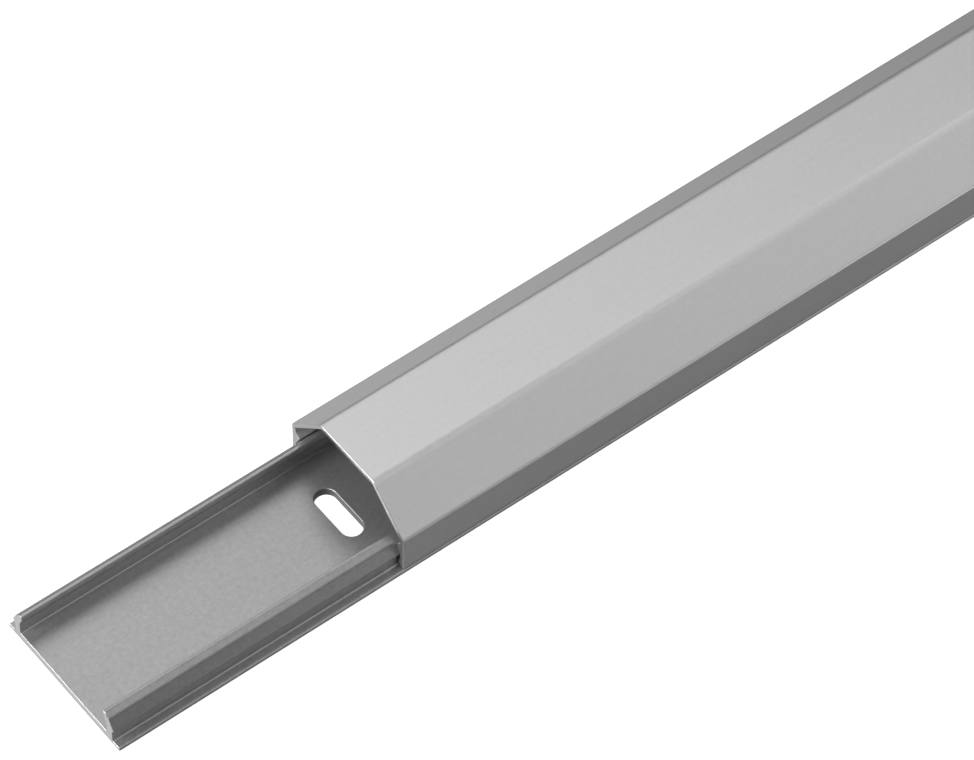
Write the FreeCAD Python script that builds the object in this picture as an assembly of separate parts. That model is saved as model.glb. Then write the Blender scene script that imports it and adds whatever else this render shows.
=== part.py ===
import FreeCAD, Part
import math
import os

# A two-piece cable duct, extruded in aluminium: a base rail that is screwed to a
# wall through its slots, and a cover that snaps over the rail's two upright arms.
# Sizes are in millimetres. X runs along the duct, Y across it and Z up from the
# wall face. The origin is the middle of the rail's underside.

# Lengths along the duct
rail_length = 1100.0
cover_length = 1100.0
cover_setback = 62.0  # how far the cover is slid back from the rail's near end

# Cover section
cover_width = 33.0
duct_height = 18.0
cover_wall = 1.0
top_width = 15.8
chamfer_foot_height = 9.4  # where the upright wall turns into the chamfer
cover_ridge_radius = 2.0  # outside, where the flat top turns into the chamfer
cover_corner_radius = 1.0  # outside, where the chamfer turns into the upright wall
cover_inner_radius = 0.5
cover_foot_radius = 0.25

# Guide rib and snap barb inside each wall of the cover
rib_tip_height = 6.6
rib_root_height = 7.8
rib_tip_radius = 0.2
barb_tip_height = 2.2
barb_tip_radius = 0.2
barb_lead_in = 0.5  # how far the barb draws back towards the wall at its foot

# Fits between the two sections
snap_clearance = 0.25
seat_clearance = 0.1

# Base rail section
flange_lip = 0.25  # how far the flange shows outside the cover
flange_thickness = 0.9
flange_edge_radius = flange_thickness * 0.4
floor_thickness = 1.9
ridge_depth = 0.6  # how far the ridge stands out from the stem below it
ridge_height = 4.3
ridge_slope = 0.8  # height of the ridge's sloping underside
ridge_radius = 0.2
stem_thickness = 1.55
stem_bend_height = 4.7  # where the stem's inner face starts to lean in
stem_bend_radius = 1.5
arm_lean = math.radians(28.0)  # of the arm's outer face above the ridge, from upright
arm_height = 7.6
arm_brow_height = 0.9  # height of the arm's top part, which turns further in
arm_brow_depth = 1.0  # how far that part turns in
arm_face_radius = 2.5
arm_tip_thickness = 0.75
arm_brow_radius = arm_tip_thickness * 4 / 3
arm_tip_radius = arm_tip_thickness / 3
arm_nose_height = 6.6  # where the arm's inner face stops leaning and stands upright
arm_nose_radius = 0.3
stem_foot_radius = 0.5
floor_corner_radius = 0.35

# Screw slots in the floor, their long way across the duct
slot_count = 5
slot_width = 4.4
slot_length = 12.0
slot_end_distance = 60.0

# Places on the two sections, measured from the middle plane
cover_half = cover_width / 2
notch_half = cover_half - cover_wall
ridge_half = notch_half - snap_clearance
stem_outer_half = ridge_half - ridge_depth
stem_inner_half = stem_outer_half - stem_thickness
flange_half = cover_half + flange_lip
barb_tip_half = stem_outer_half + snap_clearance
cover_foot_height = flange_thickness + seat_clearance
arm_shoulder_height = arm_height - arm_brow_height
arm_shoulder_half = ridge_half - (arm_shoulder_height - ridge_height) * math.tan(arm_lean)
arm_tip_half = arm_shoulder_half - arm_brow_depth
arm_nose_half = arm_tip_half - arm_tip_thickness


def rounded_face(half_outline):
    """Face in the YZ plane: the half outline and its mirror image, each corner (y, z, radius) rounded."""
    mirrored = [(-y, z, radius) for y, z, radius in reversed(half_outline)]
    outline = half_outline + mirrored
    corners = [FreeCAD.Vector(0, y, z) for y, z, _ in outline]
    arcs = []
    for index, (_, _, radius) in enumerate(outline):
        corner = corners[index]
        back = (corners[index - 1] - corner).normalize()
        ahead = (corners[(index + 1) % len(corners)] - corner).normalize()
        half_angle = back.getAngle(ahead) / 2
        reach = radius / math.tan(half_angle)
        inward = (back + ahead).normalize()
        middle = corner + inward * (radius / math.sin(half_angle) - radius)
        arcs.append((corner + back * reach, middle, corner + ahead * reach))
    edges = []
    for (start, middle, end), (next_start, _, _) in zip(arcs, arcs[1:] + arcs[:1]):
        edges.append(Part.Arc(start, middle, end).toShape())
        edges.append(Part.makeLine(end, next_start))
    return Part.Face(Part.Wire(edges))


def extrusion(half_outline, length, start_x):
    """Straight length of a section, from start_x along the duct."""
    face = rounded_face(half_outline)
    face.translate(FreeCAD.Vector(start_x, 0, 0))
    return face.extrude(FreeCAD.Vector(length, 0, 0))


def rail_section():
    """Right half of the base rail, from the flange's outer edge round to the floor."""
    return [
        (flange_half, 0.0, flange_edge_radius),
        (flange_half, flange_thickness, flange_edge_radius),
        (stem_outer_half, flange_thickness, stem_foot_radius),
        (stem_outer_half, ridge_height - ridge_slope, ridge_radius),
        (ridge_half, ridge_height, ridge_radius),
        (arm_shoulder_half, arm_shoulder_height, arm_face_radius),
        (arm_tip_half, arm_height, arm_brow_radius),
        (arm_nose_half, arm_height, arm_tip_radius),
        (arm_nose_half, arm_nose_height, arm_nose_radius),
        (stem_inner_half, stem_bend_height, stem_bend_radius),
        (stem_inner_half, floor_thickness, floor_corner_radius),
    ]


def slot_cutter(centre_x):
    """Slot with round ends, standing through the floor with its long way across the duct."""
    radius = slot_width / 2
    end_offset = slot_length / 2 - radius
    depth = 3 * floor_thickness
    foot = -floor_thickness
    middle_corner = FreeCAD.Vector(centre_x - radius, -end_offset, foot)
    cutter = Part.makeBox(slot_width, 2 * end_offset, depth, middle_corner)
    for side in (-1, 1):
        end_centre = FreeCAD.Vector(centre_x, side * end_offset, foot)
        cutter = cutter.fuse(Part.makeCylinder(radius, depth, end_centre))
    return cutter.removeSplitter()


def slot_centres():
    """X of each slot: the outer ones at the end distance, the rest spread evenly between them."""
    first = slot_end_distance - rail_length / 2
    pitch = -2 * first / (slot_count - 1)
    return [first + number * pitch for number in range(slot_count)]


def base_rail():
    rail = extrusion(rail_section(), rail_length, -rail_length / 2)
    for centre_x in slot_centres():
        rail = rail.cut(slot_cutter(centre_x))
    return rail


def beside_arm(height):
    """Y on the line that runs beside the arm's lower outer face, the snap clearance away from it."""
    arm_face = ridge_half - (height - ridge_height) * math.tan(arm_lean)
    return arm_face + snap_clearance / math.cos(arm_lean)


def cover_section():
    """Right half of the cover, down its outside and back up past the barb and the rib."""
    top_half = top_width / 2
    chamfer_turn = math.atan2(duct_height - chamfer_foot_height, cover_half - top_half)
    inner_top_half = top_half - cover_wall * math.tan(chamfer_turn / 2)
    inner_foot_height = chamfer_foot_height - cover_wall * math.tan((math.pi / 2 - chamfer_turn) / 2)
    notch_height = ridge_height + (beside_arm(ridge_height) - notch_half) / math.tan(arm_lean)
    return [
        (top_half, duct_height, cover_ridge_radius),
        (cover_half, chamfer_foot_height, cover_corner_radius),
        (cover_half, cover_foot_height, cover_foot_radius),
        (barb_tip_half + barb_lead_in, cover_foot_height, cover_foot_radius),
        (barb_tip_half, barb_tip_height, barb_tip_radius),
        (notch_half, notch_height, barb_tip_radius),
        (beside_arm(rib_tip_height), rib_tip_height, rib_tip_radius),
        (notch_half, rib_root_height, cover_inner_radius),
        (notch_half, inner_foot_height, cover_inner_radius),
        (inner_top_half, duct_height - cover_wall, cover_ridge_radius - cover_wall),
    ]


def cover():
    return extrusion(cover_section(), cover_length, cover_setback - rail_length / 2)


os.makedirs("parts", exist_ok=True)
base_rail().exportStep("parts/base_rail.step")
cover().exportStep("parts/cover.step")
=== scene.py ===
import math

import bmesh
import bpy
from mathutils import Matrix, Vector


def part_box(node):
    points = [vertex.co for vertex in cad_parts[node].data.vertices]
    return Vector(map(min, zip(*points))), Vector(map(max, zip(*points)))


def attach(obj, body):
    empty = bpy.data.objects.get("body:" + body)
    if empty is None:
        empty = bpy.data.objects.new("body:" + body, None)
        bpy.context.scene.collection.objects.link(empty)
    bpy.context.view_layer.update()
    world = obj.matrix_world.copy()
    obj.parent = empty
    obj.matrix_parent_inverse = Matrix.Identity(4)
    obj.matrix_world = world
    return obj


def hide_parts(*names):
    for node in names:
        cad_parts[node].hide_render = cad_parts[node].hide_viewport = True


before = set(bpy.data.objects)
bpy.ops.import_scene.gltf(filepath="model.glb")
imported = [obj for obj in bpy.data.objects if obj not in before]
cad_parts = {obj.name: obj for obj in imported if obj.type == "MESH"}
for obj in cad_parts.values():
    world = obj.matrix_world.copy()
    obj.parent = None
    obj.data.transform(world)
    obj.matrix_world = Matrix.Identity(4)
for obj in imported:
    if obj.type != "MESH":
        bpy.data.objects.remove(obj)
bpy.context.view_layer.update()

# A two-piece cable duct of satin anodised aluminium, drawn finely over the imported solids:
# a base rail with snap arms and screw slots, and a chamfered cover slid a little way back.
# Metres; X runs along the duct, Y across it, Z up from the wall face.

MM = 0.001

# Places of the two pieces, from their imported solids
rail_low, rail_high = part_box("base_rail")
cover_low, cover_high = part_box("cover")

# Cover section
cover_half = cover_high.y
duct_height = cover_high.z
cover_foot_height = cover_low.z
cover_wall = 1.0 * MM
top_width = 15.8 * MM
chamfer_foot_height = 9.4 * MM  # where the upright wall turns into the chamfer
cover_ridge_radius = 2.0 * MM  # outside, where the flat top turns into the chamfer
cover_corner_radius = 1.0 * MM  # outside, where the chamfer turns into the upright wall
cover_inner_radius = 0.5 * MM
cover_foot_radius = 0.25 * MM

# Guide rib and snap barb inside each wall of the cover
rib_tip_height = 6.6 * MM
rib_root_height = 7.8 * MM
rib_tip_radius = 0.2 * MM
barb_tip_height = 2.2 * MM
barb_tip_radius = 0.2 * MM
barb_lead_in = 0.5 * MM  # how far the barb draws back towards the wall at its foot
snap_clearance = 0.25 * MM

# Base rail section
flange_half = rail_high.y
flange_thickness = 0.9 * MM
flange_edge_radius = flange_thickness * 0.4
floor_thickness = 1.9 * MM
floor_corner_radius = 0.35 * MM
ridge_depth = 0.6 * MM  # how far the ridge stands out from the stem below it
ridge_height = 4.3 * MM
ridge_slope = 0.8 * MM  # height of the ridge's sloping underside
ridge_radius = 0.2 * MM
stem_thickness = 1.55 * MM
stem_foot_radius = 0.5 * MM
stem_bend_height = 4.7 * MM  # where the stem's inner face starts to lean in
stem_bend_radius = 1.5 * MM
arm_height = rail_high.z
arm_lean = math.radians(28.0)  # of the arm's outer face above the ridge, from upright
arm_brow_height = 0.9 * MM  # height of the arm's top part, which turns further in
arm_brow_depth = 1.0 * MM  # how far that part turns in
arm_face_radius = 2.5 * MM
arm_tip_thickness = 0.75 * MM
arm_brow_radius = arm_tip_thickness * 4 / 3
arm_tip_radius = arm_tip_thickness / 3
arm_nose_height = 6.6 * MM  # where the arm's inner face stops leaning and stands upright
arm_nose_radius = 0.3 * MM

# Screw slots in the rail's floor, their long way across the duct
slot_count = 5
slot_width = 4.4 * MM
slot_length = 12.0 * MM
slot_end_distance = 60.0 * MM

# Easing of the cut ends and of the slots' rims
rail_edge_radius = 0.12 * MM
cover_edge_radius = 0.18 * MM
slot_rim_radius = 0.16 * MM

# How finely the easing and the arcs are drawn
EASING_STEPS = 4
EASING_ANGLES = [math.pi / 2 * step / EASING_STEPS for step in range(EASING_STEPS + 1)]
ARC_STEP = math.radians(7)
LEAST_ARC_STEPS = 2
SAME_LEVEL = 0.001 * MM  # heights that differ by less are one level

# Places on the two sections, measured from the middle plane
notch_half = cover_half - cover_wall
ridge_half = notch_half - snap_clearance
stem_outer_half = ridge_half - ridge_depth
stem_inner_half = stem_outer_half - stem_thickness
barb_tip_half = stem_outer_half + snap_clearance
arm_shoulder_height = arm_height - arm_brow_height
arm_shoulder_half = ridge_half - (arm_shoulder_height - ridge_height) * math.tan(arm_lean)
arm_tip_half = arm_shoulder_half - arm_brow_depth
arm_nose_half = arm_tip_half - arm_tip_thickness


def beside_arm(height):
    """Y on the line beside the arm's lower outer face, the snap clearance away from it."""
    arm_face = ridge_half - (height - ridge_height) * math.tan(arm_lean)
    return arm_face + snap_clearance / math.cos(arm_lean)


def rail_section():
    """Right half of the base rail as corners (y, z, radius), from the flange's edge to the floor."""
    return [
        (flange_half, 0.0, flange_edge_radius),
        (flange_half, flange_thickness, flange_edge_radius),
        (stem_outer_half, flange_thickness, stem_foot_radius),
        (stem_outer_half, ridge_height - ridge_slope, ridge_radius),
        (ridge_half, ridge_height, ridge_radius),
        (arm_shoulder_half, arm_shoulder_height, arm_face_radius),
        (arm_tip_half, arm_height, arm_brow_radius),
        (arm_nose_half, arm_height, arm_tip_radius),
        (arm_nose_half, arm_nose_height, arm_nose_radius),
        (stem_inner_half, stem_bend_height, stem_bend_radius),
        (stem_inner_half, floor_thickness, floor_corner_radius),
    ]


def cover_section():
    """Right half of the cover as corners, down its outside and back up past the barb and the rib."""
    top_half = top_width / 2
    chamfer_turn = math.atan2(duct_height - chamfer_foot_height, cover_half - top_half)
    inner_top_half = top_half - cover_wall * math.tan(chamfer_turn / 2)
    inner_foot_height = chamfer_foot_height - cover_wall * math.tan((math.pi / 2 - chamfer_turn) / 2)
    notch_height = ridge_height + (beside_arm(ridge_height) - notch_half) / math.tan(arm_lean)
    return [
        (top_half, duct_height, cover_ridge_radius),
        (cover_half, chamfer_foot_height, cover_corner_radius),
        (cover_half, cover_foot_height, cover_foot_radius),
        (barb_tip_half + barb_lead_in, cover_foot_height, cover_foot_radius),
        (barb_tip_half, barb_tip_height, barb_tip_radius),
        (notch_half, notch_height, barb_tip_radius),
        (beside_arm(rib_tip_height), rib_tip_height, rib_tip_radius),
        (notch_half, rib_root_height, cover_inner_radius),
        (notch_half, inner_foot_height, cover_inner_radius),
        (inner_top_half, duct_height - cover_wall, cover_ridge_radius - cover_wall),
    ]


def slot_centres():
    """X of each slot: the outer ones at the end distance, the rest spread evenly between them."""
    first = rail_low.x + slot_end_distance
    pitch = (rail_high.x - rail_low.x - 2 * slot_end_distance) / (slot_count - 1)
    return [first + number * pitch for number in range(slot_count)]


def outline(half_section):
    """Points of the whole section as (place, outward normal) pairs in Y and Z, arcs at its corners."""
    mirrored = [(-y, z, radius) for y, z, radius in reversed(half_section)]
    corners = half_section + mirrored
    places = [Vector((y, z)) for y, z, _ in corners]
    area = sum(a.x * b.y - b.x * a.y for a, b in zip(places, places[1:] + places[:1]))
    way_round = 1 if area > 0 else -1  # 1 where the corners run anticlockwise
    points = []
    for index, (_, _, radius) in enumerate(corners):
        corner = places[index]
        along = (corner - places[index - 1]).normalized()
        ahead = (places[(index + 1) % len(places)] - corner).normalized()
        turn = math.atan2(along.cross(ahead), along.dot(ahead))
        first_normal = Vector((along.y, -along.x)) * way_round
        outward = 1 if turn * way_round > 0 else -1  # 1 at a corner that stands out, -1 at one that goes in
        start = corner - along * radius * math.tan(abs(turn) / 2)
        centre = start - first_normal * radius * outward
        steps = max(LEAST_ARC_STEPS, math.ceil(abs(turn) / ARC_STEP))
        for step in range(steps + 1):
            normal = Matrix.Rotation(turn * step / steps, 2) @ first_normal
            points.append((centre + normal * radius * outward, normal))
    return points


def new_object(name, data, placing=Matrix()):
    """An object in the scene, at the origin unless it is placed elsewhere."""
    added = bpy.data.objects.new(name, data)
    added.matrix_world = placing
    bpy.context.scene.collection.objects.link(added)
    return added


class Surface:
    """Vertices with their own normals and finishes, and faces, gathered into one closed smooth mesh.

    It is in millimetres until it is finished, as Blender's fill loses corners this small in metres.
    """

    def __init__(self):
        self.bm = bmesh.new()
        self.normals = []
        self.finishes = {"sawn": [], "punched": []}

    def point(self, place, normal, sawn=0.0, punched=0.0):
        vertex = self.bm.verts.new(Vector(place) / MM)
        self.normals.append(Vector(normal).normalized())
        self.finishes["sawn"].append(sawn)
        self.finishes["punched"].append(punched)
        return vertex

    def bridge(self, ring_a, ring_b, skip=()):
        """Quads between two closed rings of vertices, leaving out the numbered sides."""
        count = len(ring_a)
        for side in range(count):
            if side in skip:
                continue
            after = (side + 1) % count
            self.bm.faces.new((ring_a[side], ring_a[after], ring_b[after], ring_b[side]))

    def bridge_all(self, rings):
        """Quads from each closed ring of vertices to the next."""
        for ring_a, ring_b in zip(rings, rings[1:]):
            self.bridge(ring_a, ring_b)

    def fill(self, loops):
        """Flat face inside the first loop of vertices and outside the others."""
        edges = []
        for loop in loops:
            for start, end in zip(loop, loop[1:] + loop[:1]):
                edges.append(self.bm.edges.get((start, end)) or self.bm.edges.new((start, end)))
        bmesh.ops.triangle_fill(self.bm, use_beauty=True, edges=edges)

    def finished(self, name):
        mesh = bpy.data.meshes.new(name)
        bmesh.ops.recalc_face_normals(self.bm, faces=self.bm.faces[:])
        bmesh.ops.scale(self.bm, vec=(MM, MM, MM), verts=self.bm.verts[:])
        self.bm.to_mesh(mesh)
        self.bm.free()
        mesh.polygons.foreach_set("use_smooth", [True] * len(mesh.polygons))
        mesh.normals_split_custom_set_from_vertices(self.normals)
        for finish, amounts in self.finishes.items():
            mesh.attributes.new(finish, "FLOAT", "POINT").data.foreach_set("value", amounts)
        return new_object(name, mesh)


def end_rings(surface, points, end_x, into, edge_radius):
    """Rings that round over a cut end, from its flat face out to the full section.

    The way along X that leads into the piece is 1 or -1.
    """
    rings = []
    for angle in EASING_ANGLES:
        x = end_x + into * edge_radius * (1 - math.sin(angle))
        inset = edge_radius * (1 - math.cos(angle))
        axial = -into * math.sin(angle)
        ring = []
        for place, normal in points:
            spot = place - normal * inset
            side = normal * math.cos(angle)
            ring.append(surface.point((x, spot.x, spot.y), (axial, side.x, side.y), sawn=math.sin(angle)))
        rings.append(ring)
    return rings[::-1]


def slot_rings(surface, centre_x):
    """Rings of one slot, from its rounded upper rim down its wall to the lower rim."""
    radius = slot_width / 2
    reach = slot_length / 2 - radius
    steps = 2 * math.ceil(math.pi / 2 / ARC_STEP)
    wall = []
    for side in (1, -1):
        for step in range(steps + 1):
            angle = math.pi * step / steps
            outward = Vector((math.cos(angle), math.sin(angle))) * side
            wall.append((Vector((centre_x, reach * side)), outward))
    upper = [(angle, 1) for angle in EASING_ANGLES]
    lower = [(angle, -1) for angle in reversed(EASING_ANGLES)]
    rings = []
    for angle, facing in upper + lower:
        flare = slot_rim_radius * (1 - math.sin(angle))
        drop = slot_rim_radius * (1 - math.cos(angle))
        z = floor_thickness - drop if facing > 0 else drop
        ring = []
        for centre, outward in wall:
            place = centre + outward * (radius + flare)
            normal = (-outward.x * math.sin(angle), -outward.y * math.sin(angle), facing * math.cos(angle))
            ring.append(surface.point((place.x, place.y, z), normal, punched=math.sin(angle)))
        rings.append(ring)
    surface.bridge_all(rings)
    return rings


def flat_side(points, level):
    """Number of the outline's side that runs flat across the duct's middle at that level."""
    for side, (place, _) in enumerate(points):
        next_place = points[(side + 1) % len(points)][0]
        off_level = abs(place.y - level) + abs(next_place.y - level)
        if off_level < SAME_LEVEL and place.x * next_place.x < 0:
            return side
    raise ValueError("the section has no flat side there")


def extruded(name, half_section, low_x, high_x, edge_radius, slot_places=()):
    """A length of a section with eased cut ends, and slots through its floor where asked."""
    points = outline(half_section)
    surface = Surface()
    near = end_rings(surface, points, low_x, 1, edge_radius)
    far = end_rings(surface, points, high_x, -1, edge_radius)
    for rings in (near, far):
        surface.bridge_all(rings)
        surface.fill([rings[0]])
    pierced_levels = (floor_thickness, 0.0) if slot_places else ()
    pierced_sides = [flat_side(points, level) for level in pierced_levels]
    surface.bridge(near[-1], far[-1], skip=pierced_sides)
    slots = [slot_rings(surface, place) for place in slot_places]
    # A slot's first ring lies in the upper level, its last ring in the lower one
    for side, rim in zip(pierced_sides, (0, -1)):
        after = (side + 1) % len(points)
        border = [near[-1][side], near[-1][after], far[-1][after], far[-1][side]]
        surface.fill([border] + [rings[rim] for rings in slots])
    return surface.finished(name)


# Materials

# Patterns: their scale along X, Y and Z, and how many times they are refined
GRAIN = ((2600, 2600, 2600), 3)
BLOTCHES = ((1000, 1000, 1000), 2)
DIE_LINES = ((3, 2400, 2400), 2)
CLOUD = ((14, 40, 40), 3)
SAW_MARKS = ((400, 900, 7000), 2)
PAPER_SPECK = ((300, 300, 300), 2)

# How far patterns lift and lower the metal's tone
CLOUD_TONE = 0.02
DIE_LINE_TONE = 0.015
SAW_MARK_TONE = 0.08
PUNCH_MARK_TONE = 0.04

# How far patterns lift and lower its roughness
CLOUD_ROUGHNESS = 0.03
GRAIN_ROUGHNESS = 0.06
SAW_MARK_ROUGHNESS = 0.07

# Heights of the patterns, where the grain's is 1, and the depth that the bump gives them
DIE_LINE_HEIGHT = 0.6
SAW_MARK_HEIGHT = 2.0
BUMP_STRENGTH = 0.25
BUMP_DEPTH = 0.03 * MM

# The metal of both pieces
PUNCHED_AND_SHADED_TONE = 0.18  # of the slots' walls: partly their punched finish, partly painted shade for the dark that they reflect
METALLIC = 0.9

# The studio's paper
PAPER_TONE = 0.30
PAPER_SPECK_TONE = 0.01
PAPER_ROUGHNESS = 0.9
PAPER_GLOW = 1.0
WHITE = (1, 1, 1, 1)


class Nodes:
    """A short way to add nodes to a material or a world and join them."""

    def __init__(self, owner, shader_type):
        owner.use_nodes = True
        self.tree = owner.node_tree
        self.shader = next(node for node in self.tree.nodes if node.type == shader_type)

    def feed(self, node, inputs):
        """Gives a node its inputs, each another node's output or a plain value."""
        for key, value in inputs.items():
            if isinstance(value, bpy.types.NodeSocket):
                self.tree.links.new(value, node.inputs[key])
            else:
                node.inputs[key].default_value = value

    def add(self, kind, inputs, **settings):
        node = self.tree.nodes.new(kind)
        for key, value in settings.items():
            setattr(node, key, value)
        self.feed(node, inputs)
        return node

    def math(self, operation, first, second):
        return self.add("ShaderNodeMath", {0: first, 1: second}, operation=operation).outputs[0]

    def total(self, *values):
        running = values[0]
        for value in values[1:]:
            running = self.math("ADD", running, value)
        return running

    def spread(self, pattern, low, high):
        """A pattern's 0 to 1, stretched to run from low to high."""
        inputs = {"Value": pattern, "To Min": low, "To Max": high}
        return self.add("ShaderNodeMapRange", inputs).outputs["Result"]

    def around(self, middle, pattern, reach):
        """A middle value that a pattern lifts and lowers by its reach."""
        return self.spread(pattern, middle - reach, middle + reach)

    def blend(self, factor, first, second):
        return self.add("ShaderNodeMix", {"Factor": factor, 2: first, 3: second}).outputs[0]

    def noise(self, scale, detail):
        """Noise over the piece's own coordinates, with a scale for each axis."""
        place = self.add("ShaderNodeTexCoord", {}).outputs["Object"]
        place = self.add("ShaderNodeMapping", {"Vector": place, "Scale": scale}).outputs["Vector"]
        inputs = {"Vector": place, "Scale": 1.0, "Detail": detail}
        return self.add("ShaderNodeTexNoise", inputs).outputs["Fac"]

    def finish(self, name):
        """How far the surface has one of the finishes that its vertices carry."""
        return self.add("ShaderNodeAttribute", {}, attribute_name=name).outputs["Fac"]

    def grey(self, tone):
        return self.add("ShaderNodeCombineColor", {0: tone, 1: tone, 2: tone}).outputs["Color"]


def satin_aluminium(name, tone, roughness, grain_depth, sawn_tone, sawn_roughness):
    """Anodised aluminium: a fine matt grain, faint die lines along X, sawn ends, and punched slots whose
    walls are darkened with painted shade.
    """
    material = bpy.data.materials.new(name)
    nodes = Nodes(material, "BSDF_PRINCIPLED")
    grain = nodes.noise(*GRAIN)
    blotches = nodes.noise(*BLOTCHES)
    die_lines = nodes.noise(*DIE_LINES)
    cloud = nodes.noise(*CLOUD)
    saw_marks = nodes.noise(*SAW_MARKS)
    sawn = nodes.finish("sawn")
    punched = nodes.finish("punched")

    drawn_value = nodes.total(
        nodes.around(tone, cloud, CLOUD_TONE),
        nodes.around(0.0, grain, grain_depth),
        nodes.around(0.0, blotches, grain_depth),
        nodes.around(0.0, die_lines, DIE_LINE_TONE),
    )
    value = nodes.blend(sawn, drawn_value, nodes.around(sawn_tone, saw_marks, SAW_MARK_TONE))
    # The slots' walls take a darker tone: their punched finish with painted shade laid over it
    value = nodes.blend(punched, value, nodes.around(PUNCHED_AND_SHADED_TONE, saw_marks, PUNCH_MARK_TONE))

    drawn_roughness = nodes.total(
        nodes.around(roughness, cloud, CLOUD_ROUGHNESS),
        nodes.around(0.0, grain, GRAIN_ROUGHNESS),
    )
    cut_roughness = nodes.around(sawn_roughness, saw_marks, SAW_MARK_ROUGHNESS)

    drawn_height = nodes.total(grain, nodes.spread(die_lines, 0.0, DIE_LINE_HEIGHT))
    height = nodes.blend(sawn, drawn_height, nodes.spread(saw_marks, 0.0, SAW_MARK_HEIGHT))
    bump_inputs = {"Height": height, "Strength": BUMP_STRENGTH, "Distance": BUMP_DEPTH}
    nodes.feed(nodes.shader, {
        "Base Color": nodes.grey(value),
        "Roughness": nodes.blend(sawn, drawn_roughness, cut_roughness),
        "Metallic": METALLIC,
        "Normal": nodes.add("ShaderNodeBump", bump_inputs).outputs["Normal"],
    })
    return material


def floor_material():
    """Matt pale studio paper, with a glow of its own that keeps it white from every side."""
    material = bpy.data.materials.new("pale_floor")
    nodes = Nodes(material, "BSDF_PRINCIPLED")
    nodes.feed(nodes.shader, {
        "Base Color": nodes.grey(nodes.around(PAPER_TONE, nodes.noise(*PAPER_SPECK), PAPER_SPECK_TONE)),
        "Roughness": PAPER_ROUGHNESS,
        "Emission Color": WHITE,
        "Emission Strength": PAPER_GLOW,
    })
    return material


# Studio

AIM_HEIGHT = 0.01  # of the spot that the lights are turned to
SOFTBOX_DISTANCE = 0.8
SOFTBOX_SIZE = (0.5, 0.4)
STRIP_DISTANCE = 1.2
STRIP_WIDTH = 0.84
NEAR_SPAN = (-0.75, 0.15)
FAR_SPAN = (0.15, 1.45)


def studio_floor(half_side):
    """Level square, seen by the camera alone: the duct mirrors the studio's glows instead."""
    mesh = bpy.data.meshes.new("floor")
    corners = [(x * half_side, y * half_side, 0) for x, y in ((-1, -1), (1, -1), (1, 1), (-1, 1))]
    mesh.from_pydata(corners, [], [(0, 1, 2, 3)])
    mesh.materials.append(floor_material())
    floor = new_object("floor", mesh)
    floor.visible_glossy = False
    floor.visible_diffuse = False
    floor.visible_shadow = False
    return floor


def area_light(name, size, watts, placing):
    """Rectangular light, which shines down its own Z from where it is placed."""
    light = bpy.data.lights.new(name, "AREA")
    light.shape = "RECTANGLE"
    light.size, light.size_y = size
    light.energy = watts
    new_object(name, light, placing)


def softbox(name, direction, watts):
    """Light in a direction from the duct's near end, turned to face it."""
    away = Vector(direction).normalized()
    middle = Vector((rail_low.x, 0, AIM_HEIGHT))
    turn = (-away).to_track_quat("-Z", "Y").to_matrix().to_4x4()
    area_light(name, SOFTBOX_SIZE, watts, Matrix.Translation(middle + away * SOFTBOX_DISTANCE) @ turn)


def strip_light(name, span, angle, watts, width=STRIP_WIDTH):
    """Long light beside the duct, at an angle round it from straight above toward its far side."""
    low_x, high_x = span
    away = Vector((0, math.sin(math.radians(angle)), math.cos(math.radians(angle))))
    along = Vector((1, 0, 0))
    turn = Matrix((along, away.cross(along), away)).transposed().to_4x4()
    middle = Vector(((low_x + high_x) / 2, 0, AIM_HEIGHT))
    placing = Matrix.Translation(middle + away * STRIP_DISTANCE) @ turn
    area_light(name, (high_x - low_x, width), watts, placing)


def studio_world(glows):
    """Dark surroundings with soft glows, each (direction, strength, sharpness)."""
    world = bpy.data.worlds.new("studio")
    bpy.context.scene.world = world
    nodes = Nodes(world, "BACKGROUND")
    seen = nodes.add("ShaderNodeTexCoord", {}).outputs["Generated"]
    light = 0.0
    for direction, strength, sharpness in glows:
        inputs = {0: seen, 1: Vector(direction).normalized()}
        facing = nodes.add("ShaderNodeVectorMath", inputs, operation="DOT_PRODUCT").outputs["Value"]
        glow = nodes.math("POWER", nodes.math("MAXIMUM", facing, 0.0), sharpness)
        light = nodes.total(nodes.math("MULTIPLY", glow, strength), light)
    nodes.feed(nodes.shader, {"Color": light})


# The photograph's camera, from its fit to the duct's long edges and cut ends
CAMERA_AZIMUTH = math.radians(-37.927)
CAMERA_ELEVATION = math.radians(52.905)
CAMERA_ROLL = math.radians(0.319)
CAMERA_LENS = 218.84
CAMERA_CLIP_START = 0.01
CAMERA_OFFSET = Vector((73.948, 53.927, 1035.10)) * MM  # right, up and back from the rail's near end


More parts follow.
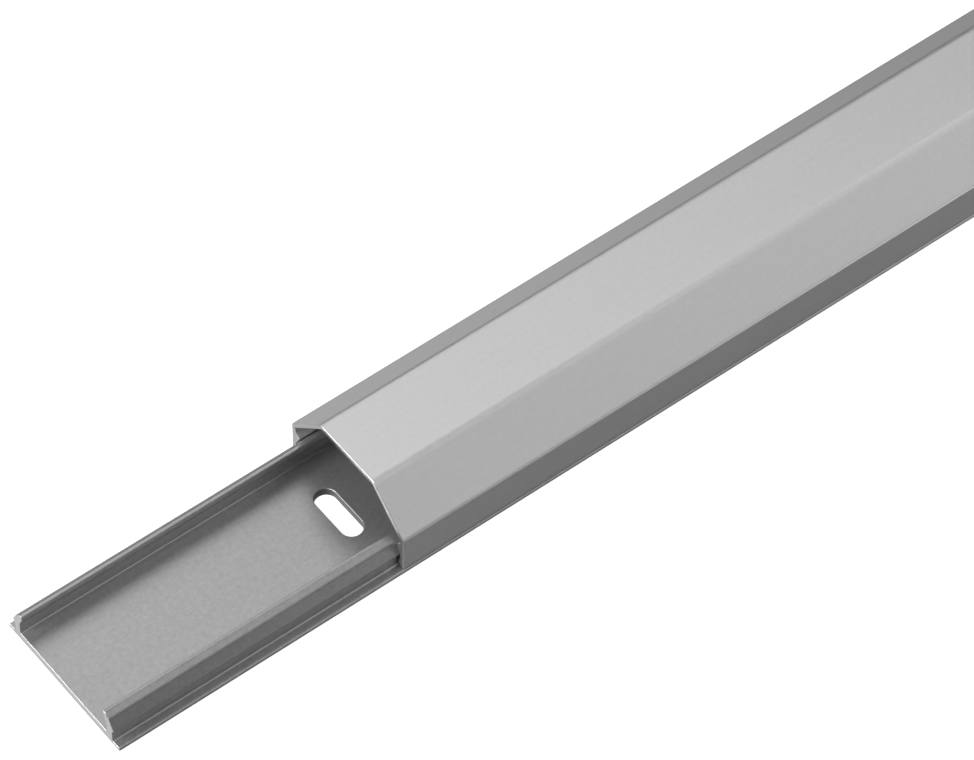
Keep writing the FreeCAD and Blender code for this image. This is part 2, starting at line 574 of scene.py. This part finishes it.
def studio_camera():
    back = Vector((
        math.sin(CAMERA_AZIMUTH) * math.cos(CAMERA_ELEVATION),
        -math.cos(CAMERA_AZIMUTH) * math.cos(CAMERA_ELEVATION),
        math.sin(CAMERA_ELEVATION),
    ))
    level_right = Vector((math.cos(CAMERA_AZIMUTH), math.sin(CAMERA_AZIMUTH), 0))
    right = Matrix.Rotation(CAMERA_ROLL, 3, back) @ level_right
    up = back.cross(right)
    axes = Matrix((right, up, back)).transposed()
    data = bpy.data.cameras.new("camera")
    data.lens = CAMERA_LENS
    data.clip_start = CAMERA_CLIP_START
    near_end = Vector((rail_low.x, 0, 0))
    placing = Matrix.Translation(near_end + axes @ CAMERA_OFFSET) @ axes.to_4x4()
    bpy.context.scene.camera = new_object("camera", data, placing)


# The scene

rail = extruded("rail_body", rail_section(), rail_low.x, rail_high.x, rail_edge_radius, slot_centres())
rail.data.materials.append(satin_aluminium(
    "rail_satin", tone=0.44, roughness=0.34, grain_depth=0.07, sawn_tone=0.60, sawn_roughness=0.50
))
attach(rail, "base")
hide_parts("base_rail")

cover = extruded("cover_body", cover_section(), cover_low.x, cover_high.x, cover_edge_radius)
cover.data.materials.append(satin_aluminium(
    "cover_satin", tone=0.70, roughness=0.39, grain_depth=0.03, sawn_tone=0.46, sawn_roughness=0.34
))
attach(cover, "cover")
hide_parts("cover")

studio_floor(60.0)
studio_world([
    ((0, 0, -1), 0.2, 1),  # from below, seen by what faces down
    ((-0.38, 0.48, -0.79), 0.60, 3),  # seen by the cut ends
    ((1, 0, 0.2), 0.65, 6),  # past the far end, seen when looking along the duct
    ((-1, 0, 0.25), 0.3, 4),  # past the near end, seen from the far side
])
softbox("end", direction=(-0.8, 0.1, 0.75), watts=11.0)
softbox("edge", direction=(-0.72, 0.48, 0.5), watts=2.6)
strip_light("near_over", NEAR_SPAN, angle=40, watts=3.15, width=1.25)
strip_light("near_top", NEAR_SPAN, angle=-10, watts=0.8)
strip_light("near_front", NEAR_SPAN, angle=-50, watts=1.45)
strip_light("near_low", NEAR_SPAN, angle=-110, watts=0.45)
strip_light("near_back", NEAR_SPAN, angle=108, watts=0.55)
strip_light("far_over", FAR_SPAN, angle=3, watts=4.6, width=1.3)
strip_light("far_front", FAR_SPAN, angle=-50, watts=2.8)
strip_light("far_low", FAR_SPAN, angle=-105, watts=4.8)
strip_light("far_back", FAR_SPAN, angle=115, watts=0.3)
studio_camera()

bpy.context.scene.view_settings.view_transform = "Standard"
